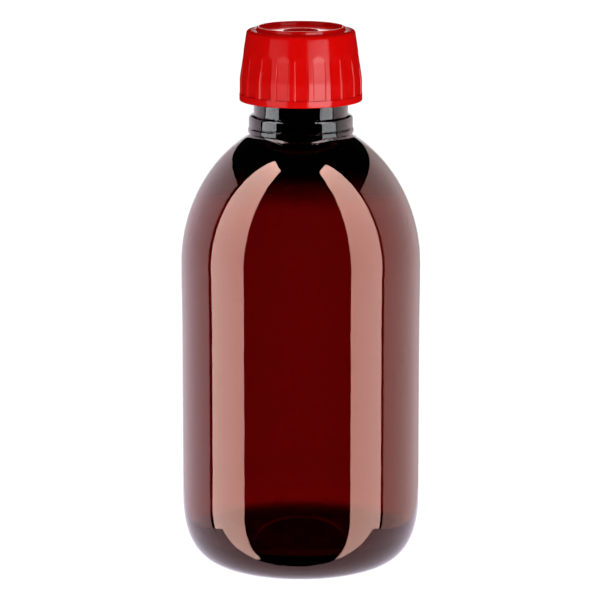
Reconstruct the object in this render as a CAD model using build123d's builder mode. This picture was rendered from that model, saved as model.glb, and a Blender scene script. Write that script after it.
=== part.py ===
"""Brown PET medicine bottle with a red tamper-evident screw cap.

Millimetres, +Z up. The origin is the middle of the foot, on the surface that the bottle stands on.
"""

import os
from math import cos, radians, sin

from build123d import *

# ---------------------------------------------------------------- driving dimensions

body_diameter = 61.0
label_relief = 0.14  # the label panel lies this far inside the full radius
wall = 0.5  # blown wall of the barrel
base_wall = 1.2  # the base and the top of the shoulder are stretched less and stay thicker
crease_wall = 1.9

corner_height = 17.5  # base corner, from the floor to the barrel
corner_fullness = 0.657  # 0.552 would be a plain ellipse
panel_top = 58.0  # the panel starts to swell to the full radius here
shoulder_start = 78.3
shoulder_handle = 12.8  # length of the tangents that draw the shoulder
crease_height = 111.0  # the shoulder meets the collar
crease_slope = 31.0  # degrees above horizontal, where it does

foot_inner_radius = 15.6
foot_outer_radius = 17.7
push_up = 7.5
push_up_flat_radius = 5.2
nub_radius = 2.4  # gate nub under the middle of the base
nub_drop = 0.9
nub_draft = 0.3

collar_radius = 13.22
collar_top = 116.3
collar_round = 1.1
neck_radius = 11.95
neck_bore_radius = 9.6
neck_bore_bottom = 113.6
neck_top = 135.6
neck_lead_in = 0.5

lock_bead_radius = 13.45
lock_bead_bottom = 121.0
lock_bead_land = 0.5

thread_pitch = 3.18
thread_root_half = 0.75  # half of the ridge's width at its root
thread_crest_half = 0.35
thread_sink = 0.4  # how deep a ridge is rooted in its wall
neck_thread_start = 125.8  # middle of the ridge where it starts, on +X
neck_thread_turns = 2.0
neck_thread_radius = 13.3
cap_thread_turns = 1.2
cap_thread_radius = 12.45

ring_flange_radius = 11.4
ring_flange_top = 136.3
ring_sleeve_bore_radius = 8.7
ring_bottom = 128.0
ring_web_bottom = 131.6
ring_web_top = 132.5
ring_spout_radius = 6.1
ring_spout_top = 135.3
ring_spout_draft = 0.35

cap_height = 138.6  # top of the raised ring and of the whole object
cap_shoulder_height = 137.75  # flat outside the ring
cap_floor_height = 137.55  # recessed floor inside the ring
cap_plate_bottom = 136.35
cap_top_radius = 13.65  # of the cone, at the height of the shoulder
cap_base_radius = 15.5
cap_cone_bottom = 125.6
cap_cone_round = 9.0
cap_edge_round = 0.55
cap_bore_radius = 13.75
cap_bore_round = 1.0
cap_ring_outer_radius = 11.12
cap_ring_inner_radius = 10.35
cap_ring_round = 0.3

rib_count = 20
rib_top = 132.9
panel_width = 3.14  # flat panel between two ribs
panel_depth = 0.3

plug_radius = 5.0
plug_bore_radius = 3.75
plug_rim_round = 0.8
plug_bottom = 130.8
plug_tip_round = 0.8
plug_floor = 1.2
plug_clearance = 0.06  # running fit of the plug in the spout

band_bottom = 119.9
band_height = 1.75
band_radius = 15.52
band_round = 0.25
band_ridge_radius = 12.3
band_ridge_height = 0.75
slit = 0.22  # between the band and the cap
bridge_count = 10
bridge_width = 0.7
bridge_depth = 0.6
bridge_radius = 14.8

# ---------------------------------------------------------------- sizes that follow

body_radius = body_diameter / 2
panel_radius = body_radius - label_relief
cap_bottom = band_bottom + band_height + slit
cap_thread_start = neck_thread_start - thread_pitch / 2  # half a pitch below the neck's ridge
spout_bore_radius = plug_radius + plug_clearance

os.makedirs("parts", exist_ok=True)


def body_outline(foot_inset, barrel_inset, crease_inset):
    """Draws the blown body from foot to crease, this far inside its surface, and returns the crease."""
    barrel = panel_radius - barrel_inset
    full = body_radius - barrel_inset
    foot = Vector(foot_outer_radius, foot_inset)
    corner = Vector(barrel, corner_height)
    reach = (barrel - foot_outer_radius) * corner_fullness
    rise = (corner_height - foot_inset) * corner_fullness
    Bezier(foot, foot + Vector(reach, 0), corner - Vector(0, rise), corner)

    panel_end = Vector(barrel, panel_top)
    shoulder = Vector(full, shoulder_start)
    swell = Vector(0, (shoulder_start - panel_top) / 2)
    Line(corner, panel_end)
    Bezier(panel_end, panel_end + swell, shoulder - swell, shoulder)

    slope = radians(crease_slope)
    crease = Vector(collar_radius, crease_height) - Vector(sin(slope), cos(slope)) * crease_inset
    crease_pull = Vector(cos(slope), -sin(slope)) * shoulder_handle
    Bezier(shoulder, shoulder + Vector(0, shoulder_handle), crease + crease_pull, crease)
    return crease


def base_outline(inset):
    """Draws the base from its flat middle to the foot ring, this far above its underside."""
    flat_end = Vector(push_up_flat_radius, push_up + inset)
    foot = Vector(foot_inner_radius, inset)
    Bezier(
        flat_end,
        ((push_up_flat_radius + foot_inner_radius) / 2, push_up + inset),
        (foot_inner_radius - push_up / 2, inset + push_up / 2),
        foot,
    )
    Line(foot, (foot_outer_radius, inset))


def thread_ridge(start, turns, root_radius, crest_radius):
    """A right-hand helical ridge on a wall of root_radius. It rises to crest_radius, out or in."""
    outward = 1 if crest_radius > root_radius else -1
    sunk_radius = root_radius - outward * thread_sink
    with BuildPart() as ridge:
        with BuildLine() as path:
            Helix(thread_pitch, thread_pitch * turns, root_radius, center=(0, 0, start))
        with BuildSketch(Plane.XZ):
            with BuildLine():
                Polyline(
                    (sunk_radius, start - thread_root_half),
                    (root_radius, start - thread_root_half),
                    (crest_radius, start - thread_crest_half),
                    (crest_radius, start + thread_crest_half),
                    (root_radius, start + thread_root_half),
                    (sunk_radius, start + thread_root_half),
                    close=True,
                )
            make_face()
        sweep(path=path.line, is_frenet=True)
    return ridge.part


neck_ridge = thread_ridge(neck_thread_start, neck_thread_turns, neck_radius, neck_thread_radius)
cap_ridge = thread_ridge(cap_thread_start, cap_thread_turns, cap_bore_radius, cap_thread_radius)

# ---------------------------------------------------------------- bottle

with BuildPart() as bottle:
    with BuildSketch(Plane.XZ):
        with BuildLine():
            Polyline(
                (0, push_up + base_wall),
                (0, push_up - nub_drop),
                (nub_radius - nub_draft, push_up - nub_drop),
                (nub_radius, push_up),
                (push_up_flat_radius, push_up),
            )
            base_outline(0)
            crease = body_outline(0, 0, 0)
            Line(crease, (collar_radius, collar_top - collar_round))
            RadiusArc(
                (collar_radius, collar_top - collar_round),
                (collar_radius - collar_round, collar_top),
                -collar_round,
            )
            Polyline(
                (collar_radius - collar_round, collar_top),
                (neck_radius, collar_top),
                (neck_radius, lock_bead_bottom),
                (lock_bead_radius, lock_bead_bottom),
                (lock_bead_radius, lock_bead_bottom + lock_bead_land),
                (neck_radius, lock_bead_bottom + lock_bead_land + lock_bead_radius - neck_radius),
                (neck_radius, neck_top - neck_lead_in),
                (neck_radius - neck_lead_in, neck_top),
                (neck_bore_radius, neck_top),
                (neck_bore_radius, neck_bore_bottom),
            )
            inner_crease = body_outline(base_wall, wall, crease_wall)
            Line((neck_bore_radius, neck_bore_bottom), inner_crease)
            base_outline(base_wall)
            Line((push_up_flat_radius, push_up + base_wall), (0, push_up + base_wall))
        make_face()
    revolve(axis=Axis.Z)
    add(neck_ridge)
bottle.part.label = "bottle"
export_step(bottle.part, "parts/bottle.step")

# ---------------------------------------------------------------- pouring ring

with BuildPart() as pouring_ring:
    with BuildSketch(Plane.XZ):
        with BuildLine():
            Polyline(
                (neck_bore_radius, ring_bottom),
                (neck_bore_radius, neck_top),
                (ring_flange_radius, neck_top),
                (ring_flange_radius, ring_flange_top),
                (ring_sleeve_bore_radius, ring_flange_top),
                (ring_sleeve_bore_radius, ring_web_top),
                (ring_spout_radius, ring_web_top),
                (ring_spout_radius - ring_spout_draft, ring_spout_top),
                (spout_bore_radius, ring_spout_top),
                (spout_bore_radius, ring_web_bottom),
                (ring_sleeve_bore_radius, ring_web_bottom),
                (ring_sleeve_bore_radius, ring_bottom),
                close=True,
            )
        make_face()
    revolve(axis=Axis.Z)
pouring_ring.part.label = "pouring_ring"
export_step(pouring_ring.part, "parts/pouring_ring.step")

# ---------------------------------------------------------------- cap

# One flat panel's cutter: it starts level with the cone at rib_top and is panel_depth deep from
# the foot of the cone downwards.
cone_slope = (cap_base_radius - cap_top_radius) / (cap_shoulder_height - cap_cone_bottom)
rib_top_radius = cap_top_radius + (cap_shoulder_height - rib_top) * cone_slope
cutter_reach = cap_base_radius + panel_depth

with BuildPart() as panel_cutter:
    with BuildSketch(Plane.XZ):
        Polygon(
            (rib_top_radius, rib_top),
            (cap_base_radius - panel_depth, cap_cone_bottom),
            (cap_base_radius - panel_depth, cap_bottom),
            (cutter_reach, cap_bottom),
            (cutter_reach, rib_top),
            align=None,
        )
    extrude(amount=panel_width / 2, both=True)

with BuildPart() as cap:
    with BuildSketch(Plane.XZ) as cap_section:
        Polygon(
            (0, plug_bottom),
            (plug_radius, plug_bottom),
            (plug_radius, cap_plate_bottom),
            (cap_bore_radius, cap_plate_bottom),
            (cap_bore_radius, cap_bottom),
            (cap_base_radius, cap_bottom),
            (cap_base_radius, cap_cone_bottom),
            (cap_top_radius, cap_shoulder_height),
            (cap_ring_outer_radius, cap_shoulder_height),
            (cap_ring_outer_radius, cap_height),
            (cap_ring_inner_radius, cap_height),
            (cap_ring_inner_radius, cap_floor_height),
            (plug_bore_radius, cap_floor_height),
            (plug_bore_radius, plug_bottom + plug_floor),
            (0, plug_bottom + plug_floor),
            align=None,
        )
        corners = {
            (cap_base_radius, cap_cone_bottom): cap_cone_round,
            (cap_top_radius, cap_shoulder_height): cap_edge_round,
            (cap_ring_outer_radius, cap_height): cap_ring_round,
            (cap_ring_inner_radius, cap_height): cap_ring_round,
            (plug_bore_radius, cap_floor_height): plug_rim_round,
            (plug_radius, plug_bottom): plug_tip_round,
            (cap_bore_radius, cap_plate_bottom): cap_bore_round,
        }
        for corner, radius in corners.items():
            fillet(cap_section.vertices().sort_by_distance(corner)[0], radius=radius)
    revolve(axis=Axis.Z)
    with PolarLocations(0, rib_count):
        add(panel_cutter.part, mode=Mode.SUBTRACT)
    add(cap_ridge)
cap.part.label = "cap"
export_step(cap.part, "parts/cap.step")

# ---------------------------------------------------------------- tamper band and its bridges

with BuildPart() as tamper_band:
    with BuildSketch(Plane.XZ) as band_section:
        Polygon(
            (band_ridge_radius, band_bottom),
            (band_radius, band_bottom),
            (band_radius, band_bottom + band_height),
            (cap_bore_radius, band_bottom + band_height),
            (cap_bore_radius, band_bottom + band_ridge_height),
            (band_ridge_radius, band_bottom + band_ridge_height / 2),
            align=None,
        )
        rim = band_section.vertices().sort_by_distance((band_radius, band_bottom))[0]
        fillet(rim, radius=band_round)
    revolve(axis=Axis.Z)
tamper_band.part.label = "tamper_band"
export_step(tamper_band.part, "parts/tamper_band.step")

with BuildPart() as tear_bridges:
    with BuildSketch(Plane.XY.offset(band_bottom + band_height)):
        with PolarLocations(bridge_radius, bridge_count):
            Rectangle(bridge_depth, bridge_width)
    extrude(amount=slit)
tear_bridges.part.label = "tear_bridges"
export_step(tear_bridges.part, "parts/tear_bridges.step")
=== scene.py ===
"""A brown PET medicine bottle with a red ribbed screw cap, on a pale floor in soft studio light.

Outlines are in millimetres: radius from the axis, then height above the floor. Blender gets metres.
"""

from math import atan2, cos, pi, radians, sin, tan

import bmesh
import bpy
import numpy as np
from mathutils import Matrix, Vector


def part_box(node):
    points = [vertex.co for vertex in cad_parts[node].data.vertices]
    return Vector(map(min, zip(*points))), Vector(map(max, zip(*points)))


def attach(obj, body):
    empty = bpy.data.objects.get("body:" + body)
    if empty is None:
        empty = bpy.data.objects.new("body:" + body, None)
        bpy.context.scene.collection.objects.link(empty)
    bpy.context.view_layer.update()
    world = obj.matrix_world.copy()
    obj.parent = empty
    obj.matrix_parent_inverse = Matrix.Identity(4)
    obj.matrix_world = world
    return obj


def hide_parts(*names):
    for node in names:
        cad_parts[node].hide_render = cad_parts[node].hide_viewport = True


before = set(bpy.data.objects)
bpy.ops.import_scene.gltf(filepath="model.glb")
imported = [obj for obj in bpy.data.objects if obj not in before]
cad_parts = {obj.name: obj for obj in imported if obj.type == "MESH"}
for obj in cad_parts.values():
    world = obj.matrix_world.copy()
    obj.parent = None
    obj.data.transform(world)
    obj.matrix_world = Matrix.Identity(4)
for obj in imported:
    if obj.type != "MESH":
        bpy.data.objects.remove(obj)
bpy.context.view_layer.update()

MM = 0.001


# ---------------------------------------------------------------- sizes from the frame


def size_of(node):
    """(radius, lowest height, highest height) of a round CAD node, in millimetres."""
    low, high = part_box(node)
    return (high.y - low.y) / 2 / MM, low.z / MM, high.z / MM


body_radius, _, neck_top = size_of("bottle")
band_radius, band_bottom, band_top = size_of("tamper_band")
flange_radius, ring_bottom, flange_top = size_of("pouring_ring")
_, plug_bottom, cap_height = size_of("cap")

slit = 0.03  # between the band and the cap
cap_bottom = band_top + slit

# ---------------------------------------------------------------- bottle sizes

label_relief = 0.14
panel_radius = body_radius - label_relief
corner_height = 17.5
corner_fullness = 0.657
panel_top = 58.0
shoulder_start = 78.3
shoulder_handle = 12.8
crease_height = 111.0
crease_slope = radians(31.0)

foot_inner_radius = 15.6
foot_outer_radius = 17.7
push_up = 7.5
push_up_flat_radius = 5.2
nub_radius = 2.4
nub_drop = 0.9
nub_round = 0.2

collar_radius = 13.22
collar_top = 116.3
collar_round = 1.1
collar_foot = 113.5  # under the collar's straight wall come a groove, a bead and another groove
collar_groove_radius = 13.0
foot_bead_radius = 13.4
foot_bead_round = 0.2
foot_bead_bottom, foot_bead_top = 111.9, 112.8
neck_radius = 11.95
neck_bore_radius = 9.6
neck_bore_bottom = 113.6
neck_lead_in = 0.5
lock_bead_radius = 13.45
lock_bead_bottom = 121.0
lock_bead_land = 0.5

barrel_wall = 0.5
base_wall = 2.4
shoulder_wall = 1.2
crease_wall = 3.0
thick_base = (4.0, 9.0)  # the wall thins from base_wall to barrel_wall between these heights,
thick_shoulder = (95.5, 103.5)  # thickens to shoulder_wall between these,
thick_crease = (102.0, 111.0)  # and to crease_wall between these

thread_pitch = 3.18
thread_root_half = 0.75
thread_crest_half = 0.35
thread_fade = 0.12  # of a turn, where a ridge runs out
neck_thread_start = 125.8
neck_thread_turns = 2.0
neck_thread_radius = 13.3
cap_thread_start = neck_thread_start - thread_pitch / 2  # half a pitch below the neck's ridge
cap_thread_turns = 1.2
cap_thread_radius = 12.45

# ---------------------------------------------------------------- closure sizes

cap_shoulder_height = cap_height - 0.85
cap_floor_height = cap_height - 1.05
cap_plate_bottom = 136.35
cap_top_radius = 13.65
cap_base_radius = 15.5
cap_cone_bottom = 125.6
cap_cone_round = 9.0
cap_edge_round = 0.9
cap_bore_radius = 13.75
cap_bore_round = 1.0
cap_lip_round = 0.05
cap_ring_outer_radius = 11.12
cap_ring_inner_radius = 10.35
cap_ring_round = 0.3

rib_count = 20
rib_pitch = 2 * pi / rib_count
rib_top = 132.9
cone_slope = (cap_base_radius - cap_top_radius) / (cap_shoulder_height - cap_cone_bottom)
rib_top_radius = cap_top_radius + (cap_shoulder_height - rib_top) * cone_slope
panel_depth = 0.3
panel_step = 0.12  # how deep a panel is soon after its top
panel_step_height = 2.0
panel_half_angle = radians(6.0)
flank_foot, flank_crest = panel_half_angle - radians(0.35), panel_half_angle + radians(0.35)

plug_radius = 5.0
plug_bore_radius = 3.75
plug_rim_round = 0.8
plug_tip_round = 0.8
plug_floor = plug_bottom + 1.2

band_round = 0.25
band_ridge_radius = 12.3
band_ridge_height = 0.75

bridge_count = 10
bridge_radius = 14.8
bridge_width = 0.7
bridge_depth = 0.6
bridge_waist = 0.55  # share of its width left in the middle
bridge_root = 0.02  # how deep each end sits in its neighbour
bridge_levels = 5

press_gap = 0.03  # keeps the pressed-in ring's wall and the bore from lying in one surface
sleeve_bore_radius = 8.7
web_bottom = 131.6
web_top = 132.5
spout_radius = 6.1
spout_top = 135.3
spout_draft = 0.35
spout_bore_radius = 5.06

mould_round = 0.1  # on edges that a mould leaves almost sharp

# ---------------------------------------------------------------- mesh fineness

corner_points, swell_points, shoulder_points, push_up_points = 40, 20, 60, 24
barrel_step, foot_step, collar_step, rim_step, ring_step = 1.5, 0.5, 0.5, 1.0, 0.8
cap_inside_step, cap_outside_step = 0.6, 0.35
thread_step = 0.1  # between the rows along a threaded wall
arc_steps, cap_arc_steps = 6, 10
panel_points, flank_points, rib_points = 9, 7, 5  # round the cap
round_angles = np.linspace(0, 2 * pi, 288, endpoint=False)
weld_distance = 1e-6
same_point = 1e-4
sharp_edge = radians(38)


# ---------------------------------------------------------------- outlines


def smooth_step(x, low, high):
    """0 below low, 1 above high, and a smooth rise between."""
    t = np.clip((np.asarray(x, float) - low) / (high - low), 0, 1)
    return t * t * (3 - 2 * t)


def bezier(points, count):
    """Points along the cubic with these four control points."""
    t = np.linspace(0, 1, count)[:, None]
    a, b, c, d = (np.asarray(p, float) for p in points)
    return (1 - t) ** 3 * a + 3 * (1 - t) ** 2 * t * b + 3 * (1 - t) * t**2 * c + t**3 * d


def straight(start, end, step):
    """Points along a line, no further apart than step."""
    start, end = np.asarray(start, float), np.asarray(end, float)
    count = max(2, int(np.ceil(np.linalg.norm(end - start) / step)) + 1)
    return start + np.linspace(0, 1, count)[:, None] * (end - start)


def rounded(corners, steps=arc_steps):
    """A path through (radius, height) corners. A third number on a corner rounds it by that much."""
    path = [np.array(corners[0][:2], float)]
    for before, here, after in zip(corners, corners[1:], corners[2:]):
        corner = np.array(here[:2], float)
        if len(here) < 3:
            path.append(corner)
            continue
        back = np.array(before[:2], float) - corner
        ahead = np.array(after[:2], float) - corner
        back, ahead = back / np.linalg.norm(back), ahead / np.linalg.norm(ahead)
        half = np.arccos(np.clip(back @ ahead, -1, 1)) / 2
        centre = corner + (back + ahead) / np.linalg.norm(back + ahead) * here[2] / sin(half)
        reach = here[2] / tan(half)
        first, last = corner + back * reach - centre, corner + ahead * reach - centre
        turn = atan2(first[0] * last[1] - first[1] * last[0], first @ last)
        for angle in np.linspace(0, turn, steps + 1):
            spin = np.array([[cos(angle), -sin(angle)], [sin(angle), cos(angle)]])
            path.append(centre + spin @ first)
    path.append(np.array(corners[-1][:2], float))
    return np.array(path)


def joined(*paths):
    """The paths end to end, without repeated points."""
    points = np.vstack(paths)
    keep = np.r_[True, np.linalg.norm(np.diff(points, axis=0), axis=1) > same_point]
    return points[keep]


def subdivided(path, step):
    """The path with extra points, so that none are further apart than step."""
    return joined(*(straight(a, b, step) for a, b in zip(path, path[1:])))


# ---------------------------------------------------------------- round meshes


def lathe(outline, angles, closed=False, relief=None):
    """Points and faces of an outline turned about the axis.

    The outline runs anticlockwise in (radius, height). It is a closed loop, or it starts and ends on
    the axis. relief gives what is added to the radius, from radius, height and angle.
    """
    radius, height = outline[:, :1], outline[:, 1:]
    if relief:
        radius = radius + relief(radius, height, angles)
    radius, height = np.broadcast_arrays(radius, height + 0 * angles)
    points = np.stack([radius * np.cos(angles), radius * np.sin(angles), height], axis=-1)
    index = np.arange(radius.size).reshape(radius.shape)
    above = np.roll(index, -1, axis=0)
    if not closed:
        index, above = index[:-1], above[:-1]
    faces = np.stack([index, np.roll(index, -1, 1), np.roll(above, -1, 1), above], axis=-1)
    return points.reshape(-1, 3), faces.reshape(-1, 4)


def make_piece(name, points, faces, body, node, material):
    """Makes a mesh from points in millimetres. It rides on body and stands for the CAD node."""
    mesh = bpy.data.meshes.new(name)
    mesh.from_pydata((points * MM).tolist(), [], faces.tolist())
    shape = bmesh.new()
    shape.from_mesh(mesh)
    bmesh.ops.remove_doubles(shape, verts=shape.verts, dist=weld_distance)
    shape.to_mesh(mesh)
    shape.free()
    mesh.shade_smooth()
    mesh.set_sharp_from_angle(angle=sharp_edge)
    mesh.materials.append(material)
    piece = bpy.data.objects.new(name, mesh)
    bpy.context.scene.collection.objects.link(piece)
    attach(piece, body)
    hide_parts(node)
    return piece


def thread_relief(height, angles, start, turns, rise):
    """Radial height of a right-hand helical ridge that starts on +X and runs out at both ends."""
    turn = angles / (2 * pi)
    along = np.round((height - start) / thread_pitch - turn) + turn
    offset = np.abs(height - start - along * thread_pitch)
    profile = np.clip((thread_root_half - offset) / (thread_root_half - thread_crest_half), 0, 1)
    ends = smooth_step(along, 0, thread_fade) * smooth_step(turns - along, 0, thread_fade)
    return rise * profile * ends


def threaded_wall(radius, start, turns):
    """(lower end, upper end) of the wall that carries this thread."""
    return (radius, start - thread_root_half), (radius, start + turns * thread_pitch + thread_root_half)


# ---------------------------------------------------------------- bottle


def blown_outline():
    """Outside of the blown body, from the foot to the crease under the collar."""
    reach = (panel_radius - foot_outer_radius) * corner_fullness
    drop = corner_height * corner_fullness
    foot, corner = np.array([foot_outer_radius, 0]), np.array([panel_radius, corner_height])
    panel_end, shoulder = np.array([panel_radius, panel_top]), np.array([body_radius, shoulder_start])
    swell = np.array([0, (shoulder_start - panel_top) / 2])
    crease = np.array([collar_radius, crease_height])
    crease_pull = np.array([cos(crease_slope), -sin(crease_slope)]) * shoulder_handle
    return joined(
        bezier([foot, foot + (reach, 0), corner - (0, drop), corner], corner_points),
        straight(corner, panel_end, barrel_step),
        bezier([panel_end, panel_end + swell, shoulder - swell, shoulder], swell_points),
        bezier([shoulder, shoulder + (0, shoulder_handle), crease + crease_pull, crease], shoulder_points),
    )


def base_outline():
    """Underside of the base, from its flat middle to the foot ring."""
    middle = (push_up_flat_radius + foot_inner_radius) / 2
    inner = foot_inner_radius - push_up / 2
    flat_end, foot = (push_up_flat_radius, push_up), (foot_inner_radius, 0)
    return joined(
        bezier([flat_end, (middle, push_up), (inner, push_up / 2), foot], push_up_points),
        straight(foot, (foot_outer_radius, 0), foot_step),
    )


def wall_thickness(height):
    """The blown wall's thickness at a height of the outside."""
    base = (base_wall - barrel_wall) * (1 - smooth_step(height, *thick_base))
    shoulder = (shoulder_wall - barrel_wall) * smooth_step(height, *thick_shoulder)
    crease = (crease_wall - shoulder_wall) * smooth_step(height, *thick_crease)
    return barrel_wall + base + shoulder + crease


def inside_of(outline):
    """The outline moved inwards by the wall's thickness, at right angles to itself."""
    tangent = np.gradient(outline, axis=0)
    tangent /= np.linalg.norm(tangent, axis=1)[:, None]
    inward = np.stack([-tangent[:, 1], tangent[:, 0]], axis=1)
    return outline + inward * wall_thickness(outline[:, 1:])


def bottle_outline():
    """The whole section of the bottle, from the nub under its base to the floor of its inside."""
    nub = rounded(
        [
            (0, push_up - nub_drop),
            (nub_radius, push_up - nub_drop, nub_round),
            (nub_radius, push_up, nub_round),
            (push_up_flat_radius, push_up),
        ]
    )
    base, body = base_outline(), blown_outline()
    thread_low, thread_high = threaded_wall(neck_radius, neck_thread_start, neck_thread_turns)
    collar = rounded(
        [
            (collar_radius, crease_height),
            (collar_groove_radius, (crease_height + foot_bead_bottom) / 2, mould_round),
            (foot_bead_radius, foot_bead_bottom, foot_bead_round),
            (foot_bead_radius, foot_bead_top, foot_bead_round),
            (collar_groove_radius, (foot_bead_top + collar_foot) / 2, mould_round),
            (collar_radius, collar_foot, foot_bead_round),
            (collar_radius, collar_top, collar_round),
            (neck_radius, collar_top, mould_round),
            (neck_radius, lock_bead_bottom),
            (lock_bead_radius, lock_bead_bottom, mould_round),
            (lock_bead_radius, lock_bead_bottom + lock_bead_land, mould_round),
            (neck_radius, lock_bead_bottom + lock_bead_land + lock_bead_radius - neck_radius, mould_round),
            thread_low,
        ]
    )
    rim = rounded(
        [
            thread_high,
            (neck_radius, neck_top, neck_lead_in),
            (neck_bore_radius, neck_top, mould_round),
            (neck_bore_radius, neck_bore_bottom),
        ]
    )
    floor = base[::-1] + (0, base_wall)
    outside = joined(nub, base, body, subdivided(collar, collar_step))
    neck = joined(straight(thread_low, thread_high, thread_step), subdivided(rim, rim_step))
    return joined(outside, neck, inside_of(body)[::-1], floor, [(0, push_up + base_wall)])


def neck_relief(radius, height, angles):
    """The thread, on the neck's outside only."""
    rise = neck_thread_radius - neck_radius
    ridge = thread_relief(height, angles, neck_thread_start, neck_thread_turns, rise)
    return np.where(np.isclose(radius, neck_radius), ridge, 0)


def make_bottle(material):
    points, faces = lathe(bottle_outline(), round_angles, relief=neck_relief)
    return make_piece("pet_bottle", points, faces, "bottle", "bottle", material)


def make_pouring_ring(material):
    """The ring's wall stands a hair inside the bore that it is pressed into."""
    sleeve, seat = neck_bore_radius - press_gap, neck_top + press_gap
    outline = rounded(
        [
            (sleeve, ring_bottom),
            (sleeve, seat),
            (flange_radius, seat, mould_round),
            (flange_radius, flange_top, mould_round),
            (sleeve_bore_radius, flange_top, mould_round),
            (sleeve_bore_radius, web_top, mould_round),
            (spout_radius, web_top, mould_round),
            (spout_radius - spout_draft, spout_top, mould_round),
            (spout_bore_radius, spout_top, mould_round),
            (spout_bore_radius, web_bottom, mould_round),
            (sleeve_bore_radius, web_bottom),
            (sleeve_bore_radius, ring_bottom),
        ]
    )
    points, faces = lathe(subdivided(outline, ring_step), round_angles, closed=True)
    return make_piece("pour_insert", points, faces, "bottle", "pouring_ring", material)


# ---------------------------------------------------------------- closure


def cap_outline():
    """The cap's section, from the tip of its plug, round its bore and its outside, to its well."""
    thread_low, thread_high = threaded_wall(cap_bore_radius, cap_thread_start, cap_thread_turns)
    inside = rounded(
        [
            (0, plug_bottom),
            (plug_radius, plug_bottom, plug_tip_round),
            (plug_radius, cap_plate_bottom, mould_round),
            (cap_bore_radius, cap_plate_bottom, cap_bore_round),
            thread_high,
        ]
    )
    outside = rounded(
        [
            thread_low,
            (cap_bore_radius, cap_bottom, mould_round),
            (cap_base_radius, cap_bottom, cap_lip_round),
            (cap_base_radius, cap_cone_bottom, cap_cone_round),
            (cap_top_radius, cap_shoulder_height, cap_edge_round),
            (cap_ring_outer_radius, cap_shoulder_height, mould_round),
            (cap_ring_outer_radius, cap_height, cap_ring_round),
            (cap_ring_inner_radius, cap_height, cap_ring_round),
            (cap_ring_inner_radius, cap_floor_height, mould_round),
            (plug_bore_radius, cap_floor_height, plug_rim_round),
            (plug_bore_radius, plug_floor, mould_round),
            (0, plug_floor),
        ],
        steps=cap_arc_steps,
    )
    thread = straight(thread_high, thread_low, thread_step)
    return joined(subdivided(inside, cap_inside_step), thread, subdivided(outside, cap_outside_step))


def panel_swing(angles):
    """Angle from the middle of the nearest flat panel. One panel faces +X."""
    return (angles + rib_pitch / 2) % rib_pitch - rib_pitch / 2


def cap_relief(radius, height, angles):
    """The flat panels between the ribs, cut into the outside, and the thread inside the bore."""
    below = rib_top - height
    depth = panel_step * smooth_step(below, 0, panel_step_height)
    depth = depth + (panel_depth - panel_step) * smooth_step(below, 0, rib_top - cap_cone_bottom)
    swing = panel_swing(angles)
    flat = np.minimum((radius - depth) / np.cos(swing) - radius, 0)
    share = 1 - smooth_step(np.abs(swing), flank_foot, flank_crest)
    outside = (radius > rib_top_radius - panel_depth) & (height < rib_top)
    rise = cap_thread_radius - cap_bore_radius
    ridge = thread_relief(height, angles, cap_thread_start, cap_thread_turns, rise)
    return np.where(outside, flat * share, 0) + np.where(np.isclose(radius, cap_bore_radius), ridge, 0)


def ribbed_angles():
    """Angles all round, close together where a rib's flanks are."""
    one = joined_angles(
        np.linspace(-flank_foot, flank_foot, panel_points),
        np.linspace(flank_foot, flank_crest, flank_points),
        np.linspace(flank_crest, rib_pitch - flank_crest, rib_points),
        np.linspace(rib_pitch - flank_crest, rib_pitch - flank_foot, flank_points),
    )
    return (np.arange(rib_count)[:, None] * rib_pitch + one[:-1]).ravel()


def joined_angles(*stretches):
    """The stretches end to end, without the angles where they meet twice."""
    return np.unique(np.round(np.concatenate(stretches), 9))


def make_cap(material):
    points, faces = lathe(cap_outline(), ribbed_angles(), relief=cap_relief)
    return make_piece("ribbed_cap", points, faces, "cap", "cap", material)


def make_tamper_band(material):
    outline = rounded(
        [
            (band_ridge_radius, band_bottom, mould_round),
            (band_radius, band_bottom, band_round),
            (band_radius, band_top, cap_lip_round),
            (cap_bore_radius, band_top, mould_round),
            (cap_bore_radius, band_bottom + band_ridge_height, mould_round),
            (band_ridge_radius, band_bottom + band_ridge_height / 2, mould_round),
            (band_ridge_radius, band_bottom),
        ]
    )
    points, faces = lathe(outline, round_angles, closed=True)
    return make_piece("tear_band", points, faces, "band", "tamper_band", material)


def make_bridges(material):
    """Small posts from the cap to the band, narrowest halfway, where they are meant to tear."""
    low, high = band_top - bridge_root, cap_bottom + bridge_root
    points, faces = [], []
    for number in range(bridge_count):
        turn = number * 2 * pi / bridge_count
        first = len(points)
        for level in np.linspace(0, 1, bridge_levels):
            narrow = 1 - (1 - bridge_waist) * sin(pi * level)
            for outward, sideways in ((1, -1), (1, 1), (-1, 1), (-1, -1)):
                out = bridge_radius + outward * bridge_depth / 2 * narrow
                side = sideways * bridge_width / 2 * narrow
                height = low + (high - low) * level
                x, y = out * cos(turn) - side * sin(turn), out * sin(turn) + side * cos(turn)
                points.append((x, y, height))
        for level in range(bridge_levels - 1):
            for side in range(4):
                a, b = first + level * 4 + side, first + level * 4 + (side + 1) % 4
                faces.append((a, b, b + 4, a + 4))
        last = first + (bridge_levels - 1) * 4
        faces.append((first + 3, first + 2, first + 1, first))
        faces.append((last, last + 1, last + 2, last + 3))
    points, faces = np.array(points), np.array(faces)
    return make_piece("snap_bridges", points, faces, "cap", "tear_bridges", material)


# ---------------------------------------------------------------- materials

# Painted reflection colour: the gloss tint is warm on the thin walls and dim grey on the thick neck,
# standing in for light that the wall's inner side mirrors back.
thin_wall_painted_tint = (1.0, 0.52, 0.42, 1)
thick_neck_painted_tint = (0.48, 0.48, 0.5, 1)
painted_tint_heights = (109.0, 112.0)  # the painted gloss tint changes between these heights
pet_absorption = (0.69, 0.0, 0.0, 1)
pet_density = 7500
dark_red, light_red = (0.66, 0.0008, 0.0004, 1), (0.70, 0.0012, 0.0006, 1)
noise_range = (0.3, 0.7)  # most of a noise's values lie in it
tint_detail, roughness_detail, bump_detail = 3, 4, 2


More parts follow.
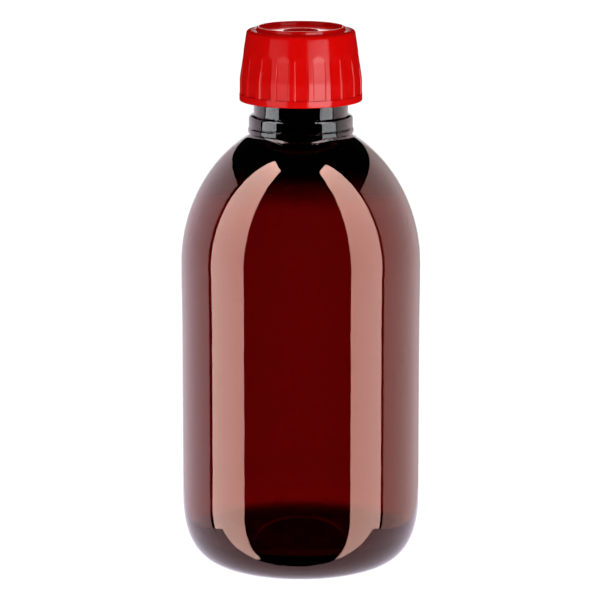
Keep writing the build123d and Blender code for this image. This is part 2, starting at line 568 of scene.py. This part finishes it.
def new_material(name, **values):
    """A material, its nodes, its links and its Principled shader, with these values on its sockets."""
    material = bpy.data.materials.new(name)
    material.use_nodes = True
    nodes, links = material.node_tree.nodes, material.node_tree.links
    shader = nodes["Principled BSDF"]
    for socket, value in values.items():
        shader.inputs[socket.replace("_", " ")].default_value = value
    return material, nodes, links, shader


def noise_at(nodes, links, scale, detail):
    """Noise fixed to the piece. scale is in features per metre."""
    place = nodes.new("ShaderNodeTexCoord")
    noise = nodes.new("ShaderNodeTexNoise")
    noise.inputs["Scale"].default_value = scale
    noise.inputs["Detail"].default_value = detail
    links.new(place.outputs["Object"], noise.inputs["Vector"])
    return noise.outputs["Fac"]


def vary_roughness(nodes, links, shader, scale, low, high):
    """Roughness that wanders between low and high over the surface."""
    spread = nodes.new("ShaderNodeMapRange")
    spread.inputs["From Min"].default_value, spread.inputs["From Max"].default_value = noise_range
    spread.inputs["To Min"].default_value = low
    spread.inputs["To Max"].default_value = high
    links.new(noise_at(nodes, links, scale, roughness_detail), spread.inputs["Value"])
    links.new(spread.outputs["Result"], shader.inputs["Roughness"])


def add_bumps(nodes, links, shader, waves):
    """Bumps of these (features per metre, height in metres), one on top of another."""
    normal = None
    for scale, height in waves:
        bump = nodes.new("ShaderNodeBump")
        bump.inputs["Distance"].default_value = height
        links.new(noise_at(nodes, links, scale, bump_detail), bump.inputs["Height"])
        if normal:
            links.new(normal, bump.inputs["Normal"])
        normal = bump.outputs["Normal"]
    links.new(normal, shader.inputs["Normal"])


def rise_between(nodes, links, low, high):
    """0 below one height in millimetres, 1 above the other, and an even rise between."""
    place, height = nodes.new("ShaderNodeTexCoord"), nodes.new("ShaderNodeSeparateXYZ")
    rise = nodes.new("ShaderNodeMapRange")
    links.new(place.outputs["Object"], height.inputs["Vector"])
    links.new(height.outputs["Z"], rise.inputs["Value"])
    rise.inputs["From Min"].default_value = low * MM
    rise.inputs["From Max"].default_value = high * MM
    return rise.outputs["Result"]


def brown_pet():
    """Clear brown PET. The colour is in the depth of the wall: light is absorbed on its way through.

    A painted reflection tint makes a thin wall's gloss warm, in place of the light its inner side mirrors
    back browner, and makes the thick neck's gloss dim and grey.
    """
    material, nodes, links, shader = new_material(
        "brown_pet", Base_Color=(1, 1, 1, 1), IOR=1.57, Transmission_Weight=1.0
    )
    vary_roughness(nodes, links, shader, scale=180, low=0.004, high=0.012)
    add_bumps(nodes, links, shader, [(45, 0.00006), (260, 0.000004)])
    # painted reflection: the gloss tint goes from warm to dim grey with height
    painted_tint = nodes.new("ShaderNodeMix")
    painted_tint.data_type = "RGBA"
    painted_tint.inputs["A"].default_value = thin_wall_painted_tint
    painted_tint.inputs["B"].default_value = thick_neck_painted_tint
    links.new(rise_between(nodes, links, *painted_tint_heights), painted_tint.inputs["Factor"])
    links.new(painted_tint.outputs["Result"], shader.inputs["Specular Tint"])
    absorption = nodes.new("ShaderNodeVolumeAbsorption")
    absorption.inputs["Color"].default_value = pet_absorption
    absorption.inputs["Density"].default_value = pet_density
    links.new(absorption.outputs["Volume"], nodes["Material Output"].inputs["Volume"])
    return material


def red_pp():
    """Glossy red moulded polypropylene."""
    material, nodes, links, shader = new_material("red_pp", IOR=1.49)
    tint = nodes.new("ShaderNodeMix")
    tint.data_type = "RGBA"
    tint.inputs["A"].default_value = dark_red
    tint.inputs["B"].default_value = light_red
    links.new(noise_at(nodes, links, 120, tint_detail), tint.inputs["Factor"])
    links.new(tint.outputs["Result"], shader.inputs["Base Color"])
    vary_roughness(nodes, links, shader, scale=400, low=0.1, high=0.15)
    add_bumps(nodes, links, shader, [(900, 0.000012)])
    return material


def natural_ldpe():
    """Milky, soft, uncoloured polyethylene."""
    material, nodes, links, shader = new_material(
        "natural_ldpe", Base_Color=(0.86, 0.86, 0.83, 1), IOR=1.51, Subsurface_Weight=0.6
    )
    shader.inputs["Subsurface Radius"].default_value = (1, 1, 0.9)
    shader.inputs["Subsurface Scale"].default_value = 0.0015
    vary_roughness(nodes, links, shader, scale=400, low=0.35, high=0.5)
    add_bumps(nodes, links, shader, [(700, 0.00001)])
    return material


# ---------------------------------------------------------------- studio


def from_axis(azimuth, distance, height):
    """A point this far from the bottle's axis. The azimuth is 0 at the front and grows to the right."""
    return Vector((distance * sin(azimuth), -distance * cos(azimuth), height))


def upright_light(name, start, end, heights, radiance, receivers, colour=(1, 1, 1)):
    """An upright soft light between two floor points, facing the bottle."""
    middle, span = (start + end) / 2, end - start
    light = bpy.data.lights.new(name, "AREA")
    light.shape = "RECTANGLE"
    light.size, light.size_y = span.length, heights[1] - heights[0]
    light.energy = watts_per_radiance * radiance * light.size * light.size_y
    light.color = colour
    lamp = bpy.data.objects.new(name, light)
    bpy.context.scene.collection.objects.link(lamp)
    lamp.location = (middle.x, middle.y, sum(heights) / 2)
    facing = Vector((middle.x, middle.y, 0))
    normal = Vector((span.y, -span.x, 0))
    if normal.dot(facing) < 0:
        normal.negate()
    lamp.rotation_euler = normal.to_track_quat("Z", "Y").to_euler()
    lamp.visible_transmission = False
    lamp.light_linking.receiver_collection = receivers
    return light


def fade_along(light, start, end, fade):
    """Makes a light's strength go evenly from 1 at start to fade at end."""
    light.use_nodes = True
    nodes, links = light.node_tree.nodes, light.node_tree.links
    along = (end - start).normalized()
    shift = nodes.new("ShaderNodeVectorMath")
    shift.operation = "DOT_PRODUCT"
    shift.inputs[1].default_value = along
    links.new(nodes.new("ShaderNodeNewGeometry").outputs["Position"], shift.inputs[0])
    ramp = nodes.new("ShaderNodeMapRange")
    ramp.inputs["From Min"].default_value = start.dot(along)
    ramp.inputs["From Max"].default_value = end.dot(along)
    ramp.inputs["To Min"].default_value = 1.0
    ramp.inputs["To Max"].default_value = fade
    links.new(shift.outputs["Value"], ramp.inputs["Value"])
    links.new(ramp.outputs["Result"], nodes["Emission"].inputs["Strength"])


def softbox(name, azimuths, heights, distance, radiance, receivers, fade=1.0):
    """An upright soft light that faces the axis and spans these azimuths, seen from it.

    Its light goes from full at the cap's height to fade times as much at its top.
    """
    reach = distance / cos((azimuths[1] - azimuths[0]) / 2)
    ends = [from_axis(azimuth, reach, 0) for azimuth in azimuths]
    light = upright_light(name, *ends, heights, radiance, receivers)
    fade_along(light, Vector((0, 0, cap_height * MM)), Vector((0, 0, heights[1])), fade)


def side_wall(name, azimuths, receivers, radiance, fade, colour):
    """A long upright reflector beside the set. It runs away behind it and fades to its far end."""
    ends = [from_axis(azimuth, wall_distance / abs(sin(azimuth)), 0) for azimuth in azimuths]
    light = upright_light(name, *ends, wall_heights, radiance, receivers, colour)
    fade_along(light, *ends, fade)


def key_light(name, receivers, elevation, distance, size, radiance):
    """A broad light from the front or above that leaves no highlight."""
    light = bpy.data.lights.new(name, "AREA")
    light.size = size
    light.energy = watts_per_radiance * radiance * size**2
    lamp = bpy.data.objects.new(name, light)
    bpy.context.scene.collection.objects.link(lamp)
    lamp.location = from_axis(0, distance * cos(elevation), distance * sin(elevation))
    lamp.rotation_euler = (pi / 2 - elevation, 0, 0)
    lamp.visible_glossy = lamp.visible_transmission = False
    lamp.light_linking.receiver_collection = receivers
    return lamp


def group_of(name, pieces):
    """A collection that only says which pieces a light reaches."""
    group = bpy.data.collections.new(name)
    for piece in pieces:
        group.objects.link(piece)
    return group


def make_world():
    """A white background, soft light from all round, and a dark room for glossy surfaces to mirror.

    Through the bottle the background is white only up to backdrop_top.
    """
    world = bpy.data.worlds.new("studio")
    world.use_nodes = True
    nodes, links = world.node_tree.nodes, world.node_tree.links
    place, path = nodes.new("ShaderNodeTexCoord"), nodes.new("ShaderNodeLightPath")
    direction, fall = nodes.new("ShaderNodeSeparateXYZ"), nodes.new("ShaderNodeMapRange")
    links.new(place.outputs["Generated"], direction.inputs["Vector"])
    links.new(direction.outputs["Z"], fall.inputs["Value"])
    fall.inputs["From Min"].default_value, fall.inputs["From Max"].default_value = backdrop_top
    fall.inputs["To Min"].default_value, fall.inputs["To Max"].default_value = 1.0, room_radiance

    def chosen(factor, off, on):
        mix = nodes.new("ShaderNodeMix")
        links.new(factor, mix.inputs["Factor"])
        for value, socket in ((off, mix.inputs["A"]), (on, mix.inputs["B"])):
            if isinstance(value, float):
                socket.default_value = value
            else:
                links.new(value, socket)
        return mix.outputs["Result"]

    mirrored = chosen(path.outputs["Is Glossy Ray"], 1.0, room_radiance)
    through = chosen(path.outputs["Is Transmission Ray"], mirrored, fall.outputs["Result"])
    strength = chosen(path.outputs["Is Diffuse Ray"], through, diffuse_radiance)
    links.new(strength, nodes["Background"].inputs["Strength"])
    nodes["Background"].inputs["Color"].default_value = (1, 1, 1, 1)
    bpy.context.scene.world = world


def pale_material(name, value, roughness):
    """A plain pale surface with a faint grain."""
    material, nodes, links, shader = new_material(name, Base_Color=(value, value, value, 1))
    vary_roughness(nodes, links, shader, scale=30, low=roughness, high=roughness + 0.1)
    add_bumps(nodes, links, shader, [(800, 0.00002)])
    return material


def make_level(name, corners, height, material):
    """A level four-cornered surface that belongs to the stage."""
    mesh = bpy.data.meshes.new(name)
    mesh.from_pydata([(x, y, height) for x, y in corners], [], [(0, 1, 2, 3)])
    mesh.materials.append(material)
    level = bpy.data.objects.new(name, mesh)
    bpy.context.scene.collection.objects.link(level)
    return level


def make_floor():
    """A pale floor. It isn't mirrored in the bottle, because the studio's lights reach below it."""
    reach = floor_size / 2
    corners = [(-reach, -reach), (reach, -reach), (reach, reach), (-reach, reach)]
    floor = make_level("floor", corners, floor_drop, pale_material("floor", floor_value, floor_roughness))
    floor.visible_glossy = False
    return floor


def make_stand():
    """A glowing block that the bottle stands on, no lamp: its glow is a painted reflection of a lit floor.
    It is seen only in the mirror of the bottle's foot.
    """
    material = new_material("stand", Base_Color=(0, 0, 0, 1), Specular_IOR_Level=0.0)[0]
    material.cycles.emission_sampling = "NONE"
    shader = material.node_tree.nodes["Principled BSDF"]
    # the stand's painted glow, in place of light falling on a floor
    shader.inputs["Emission Color"].default_value = stand_glow_colour
    shader.inputs["Emission Strength"].default_value = stand_radiance
    stand = make_level("stand", stand_corners, floor_drop / 2, material)
    stand.visible_camera = stand.visible_diffuse = stand.visible_transmission = stand.visible_shadow = False


def make_camera():
    """Looks level-headed at the bottle from the front and a little above, from far away."""
    camera = bpy.data.objects.new("camera", bpy.data.cameras.new("camera"))
    bpy.context.scene.collection.objects.link(camera)
    camera.location = from_axis(0, camera_distance * cos(camera_elevation), 0)
    camera.location.z = camera_aim + camera_distance * sin(camera_elevation)
    camera.rotation_euler = (pi / 2 - camera_elevation, 0, 0)
    camera.data.lens = camera_lens
    camera.data.shift_x = camera_shift
    camera.data.clip_start = camera_near
    bpy.context.scene.camera = camera


# ---------------------------------------------------------------- studio sizes, in metres

camera_elevation = radians(11.23)
camera_distance = 1.00308
camera_aim = 0.06834
camera_lens = 235.9
camera_shift = -0.0014  # of the frame's width
camera_near = 0.01

floor_size = 3.0
floor_drop = -0.00005
floor_value = 0.9
floor_roughness = 0.6
stand_corners = [(-0.055, -0.0258), (0.055, -0.0331), (0.055, 0.075), (-0.055, 0.075)]
# colour and strength of the stand's painted glow
stand_glow_colour = (0.88, 0.82, 0.97, 1)
stand_radiance = 1.45

watts_per_radiance = 4.0  # power per square metre of an area light, for a radiance of 1
backdrop_top = (0.1, 0.2)  # sines of the elevations where the backdrop seen through the bottle ends
room_radiance = 0.006
diffuse_radiance = 0.25

strip_azimuths = {"left_strip": (radians(-94), radians(-55.5)), "right_strip": (radians(48.3), radians(83))}
strip_distance = 0.9
strip_heights = (-1.3, 2.5)
strip_radiance = 5.85
strip_fade = 2.0

wall_distance = 0.9
wall_heights = (-1.3, 0.8)
left_wall_azimuths, right_wall_azimuths = (radians(-98), radians(-165)), (radians(86), radians(165))
left_wall_look = {"radiance": 1.5, "fade": 0.4, "colour": (1.0, 0.83, 0.93)}
right_wall_look = {"radiance": 1.66, "fade": 0.2, "colour": (1.0, 0.81, 0.82)}
back_wall_azimuths = (radians(164.5), radians(195.5))
back_wall_distance = 3.36
back_wall_radiance = 0.9

cap_light_distance = 0.6
cap_lights = [  # azimuths, heights, radiance and how far each fades
    ("cap_left", (radians(-66), radians(-26)), (-0.25, 0.24), 0.8, 0.3),
    ("cap_right", (radians(14), radians(58)), (-0.25, 0.24), 3.0, 0.3),
    ("cap_back", (radians(178.4), radians(181.6)), (0.19, 0.32), 1.9, 1.0),
]

front_key = {"elevation": radians(40), "distance": 1.5, "size": 0.9, "radiance": 0.9}
floor_key = {"elevation": radians(90), "distance": 2.2, "size": 5.0, "radiance": 1.42}

# ---------------------------------------------------------------- the scene

pet, red, milky = brown_pet(), red_pp(), natural_ldpe()
bottle = make_bottle(pet)
pouring_ring = make_pouring_ring(milky)
band = make_tamper_band(red)
band.visible_glossy = False  # the shoulder's gloss stays black under the band
closure = [make_cap(red), band, make_bridges(red)]

make_world()
floor = make_floor()
make_stand()
make_camera()

bottle_group = group_of("lit_by_strips", [bottle, pouring_ring])
closure_group = group_of("lit_by_cap_lights", closure)
solid_group = group_of("lit_by_key", [pouring_ring, *closure])
floor_group = group_of("lit_from_above", [floor])

for name, azimuths in strip_azimuths.items():
    softbox(name, azimuths, strip_heights, strip_distance, strip_radiance, bottle_group, strip_fade)
side_wall("left_wall", left_wall_azimuths, bottle_group, **left_wall_look)
side_wall("right_wall", right_wall_azimuths, bottle_group, **right_wall_look)
softbox("back_wall", back_wall_azimuths, wall_heights, back_wall_distance, back_wall_radiance, bottle_group)

for name, azimuths, heights, radiance, fade in cap_lights:
    softbox(name, azimuths, heights, cap_light_distance, radiance, closure_group, fade)

key_light("front_key", solid_group, **front_key)
lamp = key_light("floor_key", floor_group, **floor_key)
lamp.light_linking.blocker_collection = floor_group  # the bottle throws no shadow of this light

bpy.context.scene.view_settings.view_transform = "Standard"
